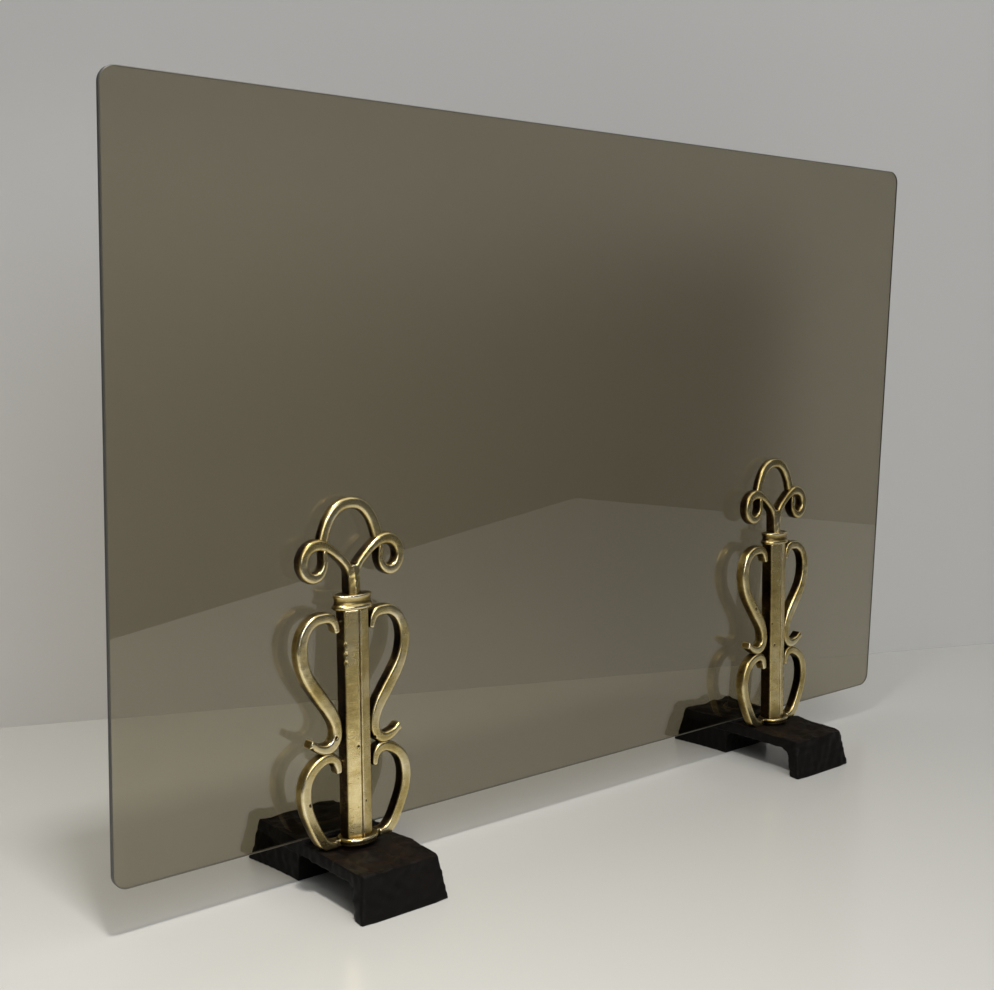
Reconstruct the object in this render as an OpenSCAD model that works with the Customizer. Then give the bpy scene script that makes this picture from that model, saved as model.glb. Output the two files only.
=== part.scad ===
// Glass fireplace screen: a sheet of smoked glass that stands on two andirons.
// Each andiron is a cast-iron bridge foot with a brass scroll upright bolted to it.
// Millimetres. X runs along the glass, +Y points away from the viewer, the floor is z = 0.
// The origin is on the floor, in the middle of the glass and of the feet.

/* [Glass] */
// Width of the sheet
glass_w = 965; // [700:5:1200]
// Height of the sheet
glass_h = 602; // [450:1:750]
// Thickness of the sheet
glass_t = 4.8; // [4:0.1:8]
// Radius of its corners
glass_corner = 13; // [4:1:40]
// Middle of the sheet, behind the middle of the feet
glass_y = 11.4; // [8:0.2:16]

/* [Andirons on the glass] */
// Middle of the left andiron
left_x = -278.5; // [-380:0.5:-120]
// Middle of the right andiron
right_x = 270; // [120:0.5:380]

/* [Foot] */
// Length from front to back, on the floor
foot_len = 172.2; // [150:0.2:220]
// Width on the floor
foot_w = 90; // [80:1:120]
// Width of the top
foot_top_w = 77; // [72:1:100]
// Height
foot_h = 38; // [34:0.5:50]
// How far the front face leans back from the floor to the top
front_draft = 7.2; // [2:0.2:12]
// How far the rear face leans forward from the floor to the top
rear_draft = 5.1; // [2:0.1:12]
// Thickness of the front leg at the top of the arch
leg_t = 12.5; // [8:0.5:20]
// Extra thickness of the front leg on the floor
leg_taper = 3.5; // [0:0.5:8]
// Length of the solid rear block
block_len = 68.5; // [55:0.5:80]
// Height of the arch at the rear block
roof_rear_h = 23; // [18:0.5:26]
// Height of the arch at the front leg
roof_front_h = 27; // [20:0.5:29]
// Radius of the arch's front corner
arch_front_r = 9; // [4:0.5:14]
// Radius of the arch's rear corner
arch_rear_r = 3; // [1:0.5:8]
// How deep the sides of the foot curve in between its ends
side_hollow = 9; // [2:0.5:12]
// Thickness of the top plate, which keeps its full width
plate_t = 12; // [9:0.5:14]

/* [Glass seat] */
// Depth of the cross groove in the top of the foot
groove_depth = 1.3; // [0.8:0.1:3]
// Clearance beside the pad in the groove
pad_clear = 0.25; // [0.1:0.05:0.6]
// Thickness of the pad under the glass
pad_t = 2; // [1.5:0.1:4]
// Width of the pad, front to back
pad_w = 6; // [5:0.2:9]
// How far each end of the pad stays inside the top of the foot
pad_inset = 3; // [1:0.5:10]
// Diameter of the buffer behind the loop
bumper_d = 6; // [4:0.5:8]
// Gap left between the buffer and the glass
bumper_gap = 0.2; // [0.1:0.05:0.6]

/* [Upright] */
// Angle by which the upright leans towards the glass
lean = 2.66; // [1.5:0.02:3]
// Flat back of the upright, from the middle of the foot
back_y = -8.2; // [-16:0.1:-8]
// Width of the post
post_w = 23.6; // [18:0.2:30]
// Depth of the post's side faces
post_side_d = 12.4; // [10:0.2:16]
// How far the ridge stands in front of the side faces
ridge_d = 4.5; // [2:0.1:8]
// Half width of the groove down the ridge
ridge_groove_w = 1; // [0.4:0.1:2]
// Depth of the groove down the ridge
ridge_groove_d = 1.6; // [0.5:0.1:3]
// Height of the post
post_h = 195; // [170:0.2:230]

/* [Scroll bars] */
// Width of the bars on the belly of a scroll, seen from the front
bar_w = 10; // [7:0.1:12]
// Depth of the bars
bar_d = 10.7; // [8:0.1:12]
// Step that softens the front edges of the scrolls
bar_step = 0.9; // [0.4:0.1:1.5]
// Height of the lower scrolls
lower_h = 78.3; // [65:0.1:95]
// Reach of the lower scrolls beyond the post, to the middle of the bar
lower_reach = 38.1; // [30:0.1:46]
// Reach of the upper scrolls beyond the post, to the middle of the bar
upper_reach = 38.8; // [30:0.1:46]
// Space left between the upper scrolls and the collar
hook_drop = 0.5; // [0.3:0.1:5]
// Flat that is pressed into each bar where the two scrolls are brazed together
braze_flat = 0.3; // [0.1:0.1:1]
// Height of the lugs that join the hooks to the post
lug_h = 9; // [6:0.5:12]
// Thickness of the lugs, which stay behind the front of the bars
lug_d = 5.5; // [3:0.5:8]

/* [Collar] */
// Half width of the collar
collar_a = 18.6; // [16:0.2:24]
// Half depth of the collar
collar_b = 10.6; // [10.2:0.2:12]
// How far its front stands in front of the post's ridge
collar_front = 0.6; // [0.3:0.1:2]
// Height of the collar
collar_t = 12; // [8:0.2:16]
// Height of the bead round its lower edge
collar_bead_t = 3.6; // [2:0.2:6]
// How far the bead stands out
collar_step = 0.8; // [0.3:0.1:2]

/* [Finial] */
// Height of the arms' crest above the collar, to the middle of the bar
fork_rise = 42.7; // [38:0.1:52]
// Reach of the volutes, to the middle of the bar
fork_reach = 47.2; // [42:0.1:54]
// Half width of the stem
stem_half_w = 5.4; // [4.5:0.1:8]
// How far the ridge of the stem stands out
stem_ridge_d = 3.2; // [1:0.2:6]
// Diameter of the tenon under the stem
tenon_d = 6; // [4:0.5:8]
// Length of the tenon in the post
tenon_len = 12; // [6:1:20]
// Clearance round the tenon
tenon_clear = 0.05; // [0.02:0.01:0.2]
// Half the span of the loop where it lands on the arms, to the middle of the bar
loop_reach = 26; // [20:0.2:30]
// Height of the loop above the arms' crest, to the middle of the bar
loop_rise = 31.7; // [24:0.1:40]
// Side of the loop's square bar
loop_bar = 8.1; // [6:0.1:10]
// Step that softens the loop's edges
loop_step = 1; // [0.5:0.1:1.5]

/* [Base flange and bolt] */
// Reach of the oval flange beyond the sides of the post
flange_side = 6.2; // [5:0.2:9]
// Reach of the flange in front of the post's side faces
flange_front = 9.4; // [6:0.2:12]
// Reach of the flange behind the post
flange_back = 5.4; // [4.6:0.2:7]
// Thickness of the flange
flange_t = 5; // [3:0.5:8]
// Width of the ties to the scrolls, front to back
tie_w = 8; // [4:0.5:10]
// Thickness of the ties
tie_t = 4.2; // [2:0.2:5]
// Diameter of the bolt
bolt_d = 8; // [6:1:10]
// Length of the bolt under its head
bolt_len = 35; // [30:1:45]
// Height of the bolt's head
bolt_head_h = 5.3; // [4:0.1:7]
// Width of the head across its flats
bolt_head_af = 13; // [10:0.5:17]
// Clearance round the bolt in the foot
bolt_hole_clear = 0.5; // [0.2:0.1:1]
// Clearance of the bolt in the post
thread_clear = 0.05; // [0.02:0.01:0.15]
// Outer diameter of the washer
washer_d = 17; // [14:0.5:22]
// Thickness of the washer
washer_t = 1.6; // [1:0.1:3]
// How far the cast seat for the washer stands below the arch
boss_drop = 1.2; // [0.6:0.1:3]

/* [Hidden] */

brass = "#9c8650";
iron = "#231f1c";
steel = "#8d8f92";
rubber = "#2b2b2b";
smoked_glass = [0.42, 0.39, 0.32, 0.55];

round_fn = 64;
spline_steps = 4;
far = 400;      // longer than any cut
past = 1;       // how far a cut runs past a face
hole_end = 3;   // extra depth of the blind holes

foot_front_y = -foot_len / 2;
foot_rear_y = foot_len / 2;
arch_rear_y = foot_rear_y - block_len;
arch_front_y = foot_front_y + front_draft * roof_front_h / foot_h + leg_t;
glass_z = foot_h - groove_depth + pad_t;
glass_front_y = glass_y - glass_t / 2;

side_y = back_y - post_side_d;
ridge_y = side_y - ridge_d;
post_mid_y = (back_y + ridge_y) / 2;
bar_front_y = back_y - bar_d;
finial_h = post_h + collar_t;
crest_h = finial_h + fork_rise;
loop_top_h = crest_h + loop_rise;
collar_y = ridge_y - collar_front + collar_b;
flange_b = (post_side_d + flange_front + flange_back) / 2;
flange_y = back_y + flange_back - flange_b;
crest_half_w = 0.85 * bar_w / 2;    // half width of a scroll's bar where it meets the other scroll
seat_z = roof_rear_h - boss_drop + (roof_front_h - roof_rear_h)
    * (arch_rear_y - post_mid_y) / (arch_rear_y - arch_front_y);
bolt_end_z = seat_z - washer_t + bolt_len;
tie_end_x = post_w / 2 + lower_reach * 0.36;    // inside the foot of each lower scroll

// Centre lines. The first number is a share of a bar's reach and runs outwards, from the side of
// the post for a scroll and from its middle for the finial. The second is a share of its rise.
// The third is the bar's width there, as a share of bar_w.
upper_scroll_line = [
    [0.134, 0.877, 0.44], [0.152, 0.919, 0.56], [0.211, 0.968, 0.74], [0.327, 0.996, 0.82],
    [0.469, 1.000, 0.85], [0.624, 0.994, 0.85], [0.760, 0.969, 0.86], [0.871, 0.929, 0.88],
    [0.956, 0.868, 0.92], [1.000, 0.789, 0.98], [0.990, 0.715, 0.99], [0.943, 0.638, 1.00],
    [0.863, 0.568, 1.04], [0.747, 0.498, 1.09], [0.613, 0.429, 1.12], [0.477, 0.361, 1.12],
    [0.340, 0.290, 1.08], [0.232, 0.216, 0.98], [0.180, 0.146, 0.89], [0.183, 0.081, 0.89],
    [0.260, 0.028, 0.89], [0.405, 0.000, 0.85], [0.554, 0.006, 0.74], [0.688, 0.028, 0.52],
    [0.768, 0.056, 0.44], [0.843, 0.065, 0.48]
];
lower_scroll_line = [
    [0.157, 0.815, 0.48], [0.165, 0.869, 0.56], [0.202, 0.936, 0.72], [0.294, 0.985, 0.82],
    [0.438, 1.000, 0.85], [0.583, 0.980, 0.86], [0.730, 0.936, 0.88], [0.850, 0.878, 0.91],
    [0.937, 0.802, 0.94], [0.987, 0.716, 0.96], [1.000, 0.624, 0.96], [0.984, 0.538, 0.95],
    [0.945, 0.452, 0.94], [0.879, 0.360, 0.92], [0.795, 0.264, 0.92], [0.703, 0.169, 0.92],
    [0.609, 0.091, 0.93], [0.488, 0.034, 0.88], [0.362, 0.018, 0.68], [0.255, 0.016, 0.60]
];
fork_arm_line = [
    [0.047, 0.141, 0.64], [0.051, 0.328, 0.64], [0.074, 0.454, 0.64], [0.121, 0.557, 0.63],
    [0.186, 0.644, 0.63], [0.275, 0.740, 0.64], [0.383, 0.841, 0.67], [0.492, 0.923, 0.74],
    [0.610, 0.984, 0.86], [0.729, 1.000, 0.94], [0.847, 0.965, 0.92], [0.945, 0.871, 0.83],
    [0.996, 0.745, 0.77], [0.996, 0.600, 0.73], [0.941, 0.468, 0.72], [0.847, 0.391, 0.71],
    [0.750, 0.384, 0.69], [0.661, 0.436, 0.62], [0.597, 0.534, 0.54], [0.570, 0.656, 0.47],
    [0.572, 0.760, 0.44], [0.578, 0.835, 0.43]
];
// One half of the loop, from its foot in the arm to its top.
loop_line = [
    [1.100, -0.085], [1.035, 0.104], [0.969, 0.281], [0.896, 0.438], [0.800, 0.593],
    [0.669, 0.744], [0.500, 0.874], [0.277, 0.968], [0, 1]
];

// A smooth curve through points (Catmull-Rom), with spline_steps pieces between two points.
function spline_at(a, b, c, d, t) = 0.5 * (2 * b + (c - a) * t
    + (2 * a - 5 * b + 4 * c - d) * t * t + (3 * b - a - 3 * c + d) * t * t * t);
function smooth(p) = let (last = len(p) - 1) concat(
    [for (i = [0 : last - 1], k = [0 : spline_steps - 1])
        spline_at(p[max(i - 1, 0)], p[i], p[i + 1], p[min(i + 2, last)], k / spline_steps)],
    [p[last]]);
// The points of a line, moved sideways by w[i] at point i.
function beside(line, w) = [for (i = [0 : len(line) - 1])
    let (from = line[max(i - 1, 0)], to = line[min(i + 1, len(line) - 1)], along = [to[0] - from[0], to[1] - from[1]])
    [line[i][0], line[i][1]] + w[i] * [-along[1], along[0]] / norm(along)];
function backwards(list) = [for (i = [len(list) - 1 : -1 : 0]) list[i]];
function arc(centre, r, from, to, steps) = [for (i = [0 : steps])
    centre + r * [cos(from + (to - from) * i / steps), sin(from + (to - from) * i / steps)]];

// Outline of a bar along a line that holds the bar's half width as its third number.
module bar_outline(line, inset = 0) {
    w = [for (p = line) p[2] - inset];
    polygon(concat(beside(line, w), backwards(beside(line, -w))));
}

// Stands an outline up: its x stays, its y becomes the height above the foot.
module upright_plate(front_y, depth) {
    translate([0, front_y + depth, 0]) rotate([90, 0, 0]) linear_extrude(depth) children();
}

// Leans a piece of the upright towards the glass, about the top of the foot.
module leaned() {
    translate([0, 0, foot_h]) rotate([-lean, 0, 0]) children();
}

module below_foot_top() {
    translate([-far / 2, -far / 2, foot_h - far]) cube(far);
}

module ellipse_plate(a, b, t) {
    linear_extrude(t) polygon([for (i = [0 : round_fn - 1]) [a * cos(360 * i / round_fn), b * sin(360 * i / round_fn)]]);
}

module glass_pane() {
    color(smoked_glass)
    translate([0, glass_y + glass_t / 2, glass_z + glass_h / 2]) rotate([90, 0, 0]) linear_extrude(glass_t) {
        square([glass_w - 2 * glass_corner, glass_h], center = true);
        square([glass_w, glass_h - 2 * glass_corner], center = true);
        for (sx = [-1, 1], sz = [-1, 1])
            translate([sx * (glass_w / 2 - glass_corner), sz * (glass_h / 2 - glass_corner)])
                circle(r = glass_corner, $fn = round_fn);
    }
}

// The foot's side view: front leg, arch and solid rear block.
module foot_side_outline() {
    slope = atan((roof_front_h - roof_rear_h) / (arch_rear_y - arch_front_y));
    front_corner = [arch_front_y + arch_front_r, roof_front_h - arch_front_r];
    rear_corner = [arch_rear_y - arch_rear_r, roof_rear_h - arch_rear_r];
    polygon(concat(
        [[foot_front_y, 0], [foot_front_y + front_draft, foot_h], [foot_rear_y - rear_draft, foot_h],
         [foot_rear_y, 0], [arch_rear_y, 0]],
        arc(rear_corner, arch_rear_r, 0, 90 - slope, 4),
        arc(front_corner, arch_front_r, 90 - slope, 180, 8),
        [[arch_front_y - leg_taper, 0]]));
}

module foot() {
    hollow_r = (foot_len * foot_len / 4 + side_hollow * side_hollow) / (2 * side_hollow);
    color(iron)
    difference() {
        union() {
            intersection() {
                rotate([90, 0, 90]) translate([0, 0, -foot_w / 2]) linear_extrude(foot_w) foot_side_outline();
                translate([0, foot_len / 2, 0]) rotate([90, 0, 0]) linear_extrude(foot_len)
                    polygon([[-foot_w / 2, 0], [-foot_top_w / 2, foot_h], [foot_top_w / 2, foot_h], [foot_w / 2, 0]]);
            }
            translate([0, post_mid_y, seat_z]) cylinder(d = washer_d + 4, h = foot_h - seat_z, $fn = round_fn);
        }
        for (side = [-1, 1])
            translate([side * (foot_w / 2 - side_hollow + hollow_r), 0, -past])
                cylinder(r = hollow_r, h = foot_h - plate_t + past, $fn = 4 * round_fn);
        translate([-foot_w, glass_y - pad_w / 2 - pad_clear, foot_h - groove_depth])
            cube([2 * foot_w, pad_w + 2 * pad_clear, groove_depth + past]);
        translate([0, post_mid_y, seat_z - past])
            cylinder(d = bolt_d + 2 * bolt_hole_clear, h = foot_h, $fn = round_fn);
    }
}

// The post before it is drilled.
module post_bar() {
    groove_edge_y = ridge_y + ridge_d * 2 * ridge_groove_w / post_w;
    difference() {
        leaned() translate([0, 0, -past]) linear_extrude(post_h + past) polygon([
            [-post_w / 2, back_y], [-post_w / 2, side_y], [-ridge_groove_w, groove_edge_y],
            [0, ridge_y + ridge_groove_d],
            [ridge_groove_w, groove_edge_y], [post_w / 2, side_y], [post_w / 2, back_y]]);
        below_foot_top();
    }
}

module post() {
    color(brass)
    difference() {
        post_bar();
        translate([0, post_mid_y, foot_h - past])
            cylinder(d = bolt_d + 2 * thread_clear, h = bolt_end_z - foot_h + hole_end, $fn = round_fn);
        leaned() translate([0, collar_y, post_h - tenon_len - hole_end])
            cylinder(d = tenon_d + 2 * tenon_clear, h = tenon_len + 2 * hole_end, $fn = round_fn);
    }
}

module collar() {
    color(brass)
    leaned() translate([0, collar_y, post_h]) difference() {
        union() {
            ellipse_plate(collar_a, collar_b, collar_bead_t);
            ellipse_plate(collar_a - collar_step, collar_b - collar_step, collar_t);
        }
        translate([0, 0, -past])
            cylinder(d = tenon_d + 2 * tenon_clear, h = collar_t + 2 * past, $fn = round_fn);
    }
}

function fork_arm() = smooth([for (p = fork_arm_line)
    [p[0] * fork_reach, finial_h + p[1] * fork_rise, p[2] * bar_w / 2]]);

module fork_outline() {
    arm = fork_arm();
    tip = arm[len(arm) - 1];
    for (side = [0, 1]) mirror([side, 0]) {
        bar_outline(arm);
        translate([tip[0], tip[1]]) circle(r = tip[2], $fn = round_fn / 2);
    }
    polygon([[-stem_half_w, finial_h], [-stem_half_w, finial_h + fork_rise * 0.33],
             [-stem_half_w * 1.1, finial_h + fork_rise * 0.56], [0, finial_h + fork_rise * 0.6],
             [stem_half_w * 1.1, finial_h + fork_rise * 0.56], [stem_half_w, finial_h + fork_rise * 0.33],
             [stem_half_w, finial_h]]);
}

module fork() {
    color(brass)
    leaned() {
        upright_plate(bar_front_y, bar_d) fork_outline();
        difference() {
            translate([0, 0, finial_h]) linear_extrude(fork_rise * 0.56)
                polygon([[-stem_half_w, bar_front_y], [0, bar_front_y - stem_ridge_d], [stem_half_w, bar_front_y],
                         [stem_half_w, bar_front_y + past], [-stem_half_w, bar_front_y + past]]);
            translate([-far / 2, bar_front_y, finial_h + fork_rise * 0.56])
                rotate([atan(fork_rise * 0.4 / stem_ridge_d) - 90, 0, 0])
                translate([0, -far, 0]) cube(far);
        }
        translate([0, collar_y, post_h - tenon_len])
            cylinder(d = tenon_d, h = finial_h - post_h + tenon_len + past, $fn = round_fn);
    }
}

function loop_arch() = let (half = [for (p = loop_line)
    [p[0] * loop_reach, crest_h + p[1] * loop_rise, loop_bar / 2]])
    smooth(concat([for (p = half) [-p[0], p[1], p[2]]], [for (i = [len(half) - 2 : -1 : 0]) half[i]]));

module loop() {
    color(brass)
    leaned() difference() {
        union() {
            upright_plate(back_y - loop_bar, loop_bar) bar_outline(loop_arch(), loop_step);
            upright_plate(back_y - loop_bar + loop_step, loop_bar - 2 * loop_step) bar_outline(loop_arch());
        }
        upright_plate(bar_front_y - past, bar_d + 2 * past) fork_outline();
    }
}

// One scroll bar with softened front edges, on the +X side of the post, and the lug behind its
// hook. It is cut flat against the side of the post and between the heights from and to.
module scroll(line, reach, low, rise, from, to) {
    path = smooth([for (p = line) [post_w / 2 + p[0] * reach, low + p[1] * rise, p[2] * bar_w / 2]]);
    hook = path[0];
    difference() {
        leaned() intersection() {
            union() {
                upright_plate(bar_front_y, bar_d) bar_outline(path, bar_step);
                upright_plate(bar_front_y + bar_step, bar_d - bar_step) bar_outline(path);
                upright_plate(back_y - lug_d, lug_d) translate([0, hook[1]]) square([hook[0], lug_h]);
            }
            translate([post_w / 2, -far / 2, from]) cube([far, far, to - from]);
        }
        below_foot_top();
    }
}

module upper_scroll() {
    low = lower_h + crest_half_w - braze_flat;
    color(brass)
    scroll(upper_scroll_line, upper_reach, low, post_h - hook_drop - crest_half_w - low, lower_h, post_h);
}

module lower_scroll() {
    color(brass)
    scroll(lower_scroll_line, lower_reach, 0, lower_h - crest_half_w + braze_flat, -far / 2, lower_h);
}

module base_flange() {
    color(brass)
    difference() {
        translate([0, 0, foot_h]) {
            translate([0, flange_y, 0]) ellipse_plate(post_w / 2 + flange_side, flange_b, flange_t);
            translate([-tie_end_x, bar_front_y + (bar_d - tie_w) / 2, 0]) cube([2 * tie_end_x, tie_w, tie_t]);
        }
        post_bar();
        lower_scroll();
        flipped() lower_scroll();
    }
}

module bolt_washer() {
    color(steel)
    translate([0, post_mid_y, seat_z - washer_t]) difference() {
        cylinder(d = washer_d, h = washer_t, $fn = round_fn);
        translate([0, 0, -past]) cylinder(d = bolt_d + bolt_hole_clear, h = washer_t + 2 * past, $fn = round_fn);
    }
}

module post_bolt() {
    color(steel)
    translate([0, post_mid_y, seat_z - washer_t]) {
        cylinder(d = bolt_d, h = bolt_len, $fn = round_fn);
        translate([0, 0, -bolt_head_h]) cylinder(d = bolt_head_af / cos(30), h = bolt_head_h, $fn = 6);
    }
}

module glass_pad() {
    length = foot_top_w - 2 * pad_inset;
    color(rubber)
    translate([-length / 2, glass_y - pad_w / 2, foot_h - groove_depth]) cube([length, pad_w, pad_t]);
}

module bumper() {
    color(rubber)
    difference() {
        leaned() translate([0, back_y, loop_top_h]) rotate([-90, 0, 0])
            cylinder(d = bumper_d, h = glass_front_y - back_y, $fn = round_fn);
        translate([-far / 2, glass_front_y - bumper_gap, 0]) cube([far, far, 2 * far]);
    }
}

module at_left() { translate([left_x, 0, 0]) children(); }
module at_right() { translate([right_x, 0, 0]) children(); }
module flipped() { mirror([1, 0, 0]) children(); }

glass_pane();

at_left() foot();  // left_foot
at_left() post();  // left_post
at_left() collar();  // left_collar
at_left() fork();  // left_fork
at_left() loop();  // left_loop
at_left() flipped() upper_scroll();  // left_upper_outer_scroll
at_left() upper_scroll();  // left_upper_inner_scroll
at_left() flipped() lower_scroll();  // left_lower_outer_scroll
at_left() lower_scroll();  // left_lower_inner_scroll
at_left() base_flange();  // left_base_flange
at_left() post_bolt();  // left_post_bolt
at_left() bolt_washer();  // left_bolt_washer
at_left() glass_pad();  // left_glass_pad
at_left() bumper();  // left_bumper

at_right() foot();  // right_foot
at_right() post();  // right_post
at_right() collar();  // right_collar
at_right() fork();  // right_fork
at_right() loop();  // right_loop
at_right() upper_scroll();  // right_upper_outer_scroll
at_right() flipped() upper_scroll();  // right_upper_inner_scroll
at_right() lower_scroll();  // right_lower_outer_scroll
at_right() flipped() lower_scroll();  // right_lower_inner_scroll
at_right() base_flange();  // right_base_flange
at_right() post_bolt();  // right_post_bolt
at_right() bolt_washer();  // right_bolt_washer
at_right() glass_pad();  // right_glass_pad
at_right() bumper();  // right_bumper
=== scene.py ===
# %% [markdown]
# # A glass fireplace screen on two brass andirons
# The screen is a sheet of smoked glass that stands across two cast-iron bridge feet. A brass upright
# of scrolls is bolted to each foot and keeps the sheet from falling forward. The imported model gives
# the sizes and places. This lesson gives each piece its finish, and makes the brass and the iron
# again as soft, worn castings, because a fresh machined edge would look wrong on them.

import bpy
import numpy as np
from mathutils import Matrix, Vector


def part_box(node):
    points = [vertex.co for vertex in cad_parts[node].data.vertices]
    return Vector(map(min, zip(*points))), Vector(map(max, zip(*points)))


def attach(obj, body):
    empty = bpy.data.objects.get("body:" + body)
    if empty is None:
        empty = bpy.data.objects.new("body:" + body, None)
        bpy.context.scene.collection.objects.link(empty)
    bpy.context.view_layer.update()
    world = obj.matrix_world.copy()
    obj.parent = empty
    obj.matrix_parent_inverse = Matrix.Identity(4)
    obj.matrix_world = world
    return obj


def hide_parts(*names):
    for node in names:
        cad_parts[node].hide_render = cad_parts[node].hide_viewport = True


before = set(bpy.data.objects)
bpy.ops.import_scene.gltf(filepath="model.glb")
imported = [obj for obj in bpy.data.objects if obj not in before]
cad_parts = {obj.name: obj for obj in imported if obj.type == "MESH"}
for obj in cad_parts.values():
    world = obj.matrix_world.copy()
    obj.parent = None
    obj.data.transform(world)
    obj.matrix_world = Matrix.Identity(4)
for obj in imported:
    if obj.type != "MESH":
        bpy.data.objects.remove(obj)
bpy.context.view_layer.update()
print("nodes in the frame:", len(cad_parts))

# %% [markdown]
# ## Sizes
# Shapes are worked out in millimetres, in the way a maker writes them down, and become metres when
# a mesh is made. Where each post stands, and the sizes of the foot, the washer, the pad and the
# sheet, are read from the frame. The rest are the upright's own sizes: its heights start at the top
# of the foot, and it is drawn straight up before it leans towards the glass.

# %% Sizes in millimetres
METRE = 1000.0
SIDES = ("left", "right")


def box_mm(node):
    """Lowest and highest corner of a node, in millimetres."""
    low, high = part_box(node)
    return np.array(low) * METRE, np.array(high) * METRE


foot_low, foot_high = box_mm("left_foot")
foot_h = foot_high[2]
foot_len = foot_high[1] - foot_low[1]
foot_w = foot_high[0] - foot_low[0]
middle_x = {side: box_mm(f"{side}_post")[0][0] / 2 + box_mm(f"{side}_post")[1][0] / 2 for side in SIDES}
post_w = box_mm("left_post")[1][0] - box_mm("left_post")[0][0]
lean = np.radians(2.66)
back_y = -8.2
side_y = -20.6
ridge_y = -25.1
bar_front_y = -18.9
bar_w = 10.0
bar_d = back_y - bar_front_y
bar_mid_y = (back_y + bar_front_y) / 2
crest_half_w = 0.85 * bar_w / 2
post_h = 195.0
lower_h = 78.3
finial_h = 207.0
fork_rise = 42.7
fork_reach = 47.2
crest_h = finial_h + fork_rise
loop_reach = 26.0
loop_rise = 31.7
loop_bar = 8.1
upper_reach = 38.8
lower_reach = 38.1
collar_half_w = 18.6
collar_half_d = 10.6
collar_y = -15.1
flange_overhang = 6.2
flange_half_d = 13.6
flange_y = -16.4
tie_half_w = 25.5
tie_half_d = 4.0
overlap = 0.3
print("posts stand at x =", middle_x, "and are", round(post_w, 1), "mm wide")

# %% [markdown]
# ## Camera
# The camera stands where the photographer stood: to the left of the screen and a little above it,
# turned 41 degrees and tilted 8 degrees down. The three axes of its rotation are built from those
# angles and a cross product, and are then rolled a little, as the hand-held picture is.

# %% Camera
CAMERA_AT = np.array([-901.1, -908.2, 481.9]) / METRE
TURN, TILT, ROLL = 0.7102, 0.1392, 0.0219
LENS, SENSOR = 49.38, 36.0

ahead = np.array([np.sin(TURN) * np.cos(TILT), np.cos(TURN) * np.cos(TILT), -np.sin(TILT)])
level = np.array([np.cos(TURN), -np.sin(TURN), 0.0])
above = np.cross(level, ahead)
rightward = np.cos(ROLL) * level + np.sin(ROLL) * above
upward = -np.sin(ROLL) * level + np.cos(ROLL) * above
camera_data = bpy.data.cameras.new("camera")
camera_data.lens = LENS
camera_data.sensor_width = SENSOR
camera = bpy.data.objects.new("camera", camera_data)
pose = Matrix.Identity(4)
for column, axis in enumerate((rightward, upward, -ahead, CAMERA_AT)):
    for row in range(3):
        pose[row][column] = axis[row]
camera.matrix_world = pose
bpy.context.scene.collection.objects.link(camera)
bpy.context.scene.camera = camera
bpy.context.scene.view_settings.view_transform = "Standard"
print("camera at", CAMERA_AT)

# %% [markdown]
# ## Colours and shader nodes
# Colours are written as the hex values that a paint chart gives, and one function turns them into
# the linear light that shaders work in. A second small function adds a node, sets it and wires it,
# so that each finish below reads as a short list.


# %% Helpers for finishes
def srgb(code):
    """Linear red, green, blue and alpha of an sRGB hex colour: v / 12.92 in the dark toe, otherwise
    ((v + 0.055) / 1.055)^2.4."""
    value = np.array([int(code[i:i + 2], 16) for i in (1, 3, 5)]) / 255
    linear = np.where(value <= 0.04045, value / 12.92, ((value + 0.055) / 1.055) ** 2.4)
    return (*linear.tolist(), 1.0)


def add(tree, kind, inputs=(), **settings):
    """Adds a shader node. settings are its properties, inputs its sockets, each a value or a socket to
    link."""
    made = tree.nodes.new("ShaderNode" + kind)
    for name, value in settings.items():
        setattr(made, name, value)
    for name, value in dict(inputs).items():
        if isinstance(value, bpy.types.NodeSocket):
            tree.links.new(value, made.inputs[name])
        else:
            made.inputs[name].default_value = value
    return made


def ramp(tree, factor, stops):
    """A colour ramp from (place, hex colour) stops."""
    made = add(tree, "ValToRGB", {"Fac": factor})
    elements = made.color_ramp.elements
    while len(elements) < len(stops):
        elements.new(0.5)
    for element, (place, code) in zip(elements, stops):
        element.position = place
        element.color = srgb(code)
    return made.outputs["Color"]


def finish_named(name):
    """An empty node material and its output node."""
    material = bpy.data.materials.new(name)
    material.use_nodes = True
    material.node_tree.nodes.clear()
    return material, material.node_tree, add(material.node_tree, "OutputMaterial")


def grain(tree, coordinates, size_mm, detail=2.0, roughness=0.5):
    """Noise whose lumps are about size_mm across, from Object coordinates in metres."""
    noise = add(tree, "TexNoise", {"Vector": coordinates, "Scale": METRE / size_mm, "Detail": detail,
                                   "Roughness": roughness})
    return noise.outputs["Fac"]


def math_of(tree, operation, a, b, clamp=False):
    """One arithmetic step on two numbers or sockets."""
    return add(tree, "Math", {0: a, 1: b}, operation=operation, use_clamp=clamp).outputs[0]


# %% [markdown]
# ## Smoked glass
# The sheet is bronze-tinted float glass, polished by the float bath. Glass is nearly all shader:
# full transmission and no roughness give the reflections of the floor in its lower half. The index
# is set above float glass's own 1.52, so that the pale top shows in it nearly as strongly as in the
# photo. The tint is what is left of white light after it has gone through the whole sheet. Light on
# its way from a lamp would be lost in true refraction, so those rays meet plain tinted
# transparency instead, which throws the pale brown shadow.


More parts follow.
